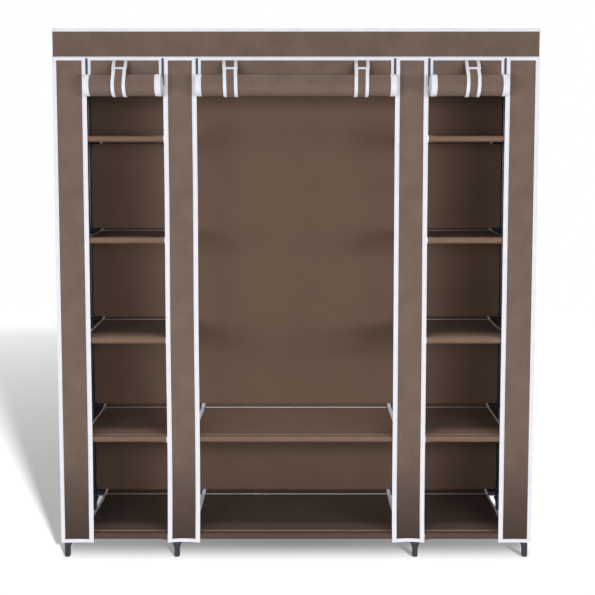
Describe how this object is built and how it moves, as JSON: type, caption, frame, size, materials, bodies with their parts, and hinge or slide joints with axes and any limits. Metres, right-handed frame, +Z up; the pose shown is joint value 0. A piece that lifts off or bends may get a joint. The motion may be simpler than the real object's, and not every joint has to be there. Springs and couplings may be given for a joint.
{
  "type": "portable fabric wardrobe",
  "caption": "Portable fabric wardrobe in three bays: tube frame, slung shelves, hanging space, and a bound cover with doors rolled up and strapped under its header.",
  "frame": {"origin": "on the floor, under the middle of the whole part's outside", "axes": "+Z up, front towards -Y, +X to the right seen from the front"},
  "size_m": [1.5, 0.5202, 1.67],
  "materials": {
    "brown_fabric": "matte",
    "white_binding": "matte",
    "black_tube": "satin",
    "dark_plastic": "satin"
  },
  "bodies": {
    "wardrobe": {"base_frame": "black_tube", "lower_frame": "black_tube", "top_frame": "black_tube", "left_frame_2": "black_tube", "left_frame_3": "black_tube", "left_frame_4": "black_tube", "right_frame_2": "black_tube", "right_frame_3": "black_tube", "right_frame_4": "black_tube", "post_left_outer_front": "black_tube", "post_left_outer_back": "black_tube", "post_left_inner_front": "black_tube", "post_left_inner_back": "black_tube", "post_right_inner_front": "black_tube", "post_right_inner_back": "black_tube", "post_right_outer_front": "black_tube", "post_right_outer_back": "black_tube", "foot_left_outer_front": "dark_plastic", "foot_left_outer_back": "dark_plastic", "foot_left_inner_front": "dark_plastic", "foot_left_inner_back": "dark_plastic", "foot_right_inner_front": "dark_plastic", "foot_right_inner_back": "dark_plastic", "foot_right_outer_front": "dark_plastic", "foot_right_outer_back": "dark_plastic", "hanging_rod": "black_tube", "shelf_left_0": "brown_fabric", "shelf_left_1": "brown_fabric", "shelf_left_2": "brown_fabric", "shelf_left_3": "brown_fabric", "shelf_left_4": "brown_fabric", "shelf_right_0": "brown_fabric", "shelf_right_1": "brown_fabric", "shelf_right_2": "brown_fabric", "shelf_right_3": "brown_fabric", "shelf_right_4": "brown_fabric", "shelf_middle_0": "brown_fabric", "shelf_middle_1": "brown_fabric", "roof_panel": "brown_fabric", "back_panel": "brown_fabric", "header_band": "brown_fabric", "side_panel_left": "brown_fabric", "side_panel_right": "brown_fabric", "strip_left_outer": "brown_fabric", "strip_left_inner": "brown_fabric", "strip_right_inner": "brown_fabric", "strip_right_outer": "brown_fabric", "cover_piping": "white_binding", "front_binding": "white_binding", "door_flap_left": "brown_fabric", "door_flap_middle": "brown_fabric", "door_flap_right": "brown_fabric", "strap_left": "brown_fabric", "strap_middle_left": "brown_fabric", "strap_middle_right": "brown_fabric", "strap_right": "brown_fabric"},
    "door_left": {"door_roll_left": "brown_fabric"},
    "door_middle": {"door_roll_middle": "brown_fabric"},
    "door_right": {"door_roll_right": "brown_fabric"}
  },
  "joints": [
    {"name": "door_left_unroll", "type": "slide", "parent": "wardrobe", "child": "door_left", "axis": [0, 0, -1], "range_m": [0, 1.41], "deforming": ["door_flap_left", "strap_left"]},
    {"name": "door_middle_unroll", "type": "slide", "parent": "wardrobe", "child": "door_middle", "axis": [0, 0, -1], "range_m": [0, 1.41], "deforming": ["door_flap_middle", "strap_middle_left", "strap_middle_right"]},
    {"name": "door_right_unroll", "type": "slide", "parent": "wardrobe", "child": "door_right", "axis": [0, 0, -1], "range_m": [0, 1.41], "deforming": ["door_flap_right", "strap_right"]}
  ]
}
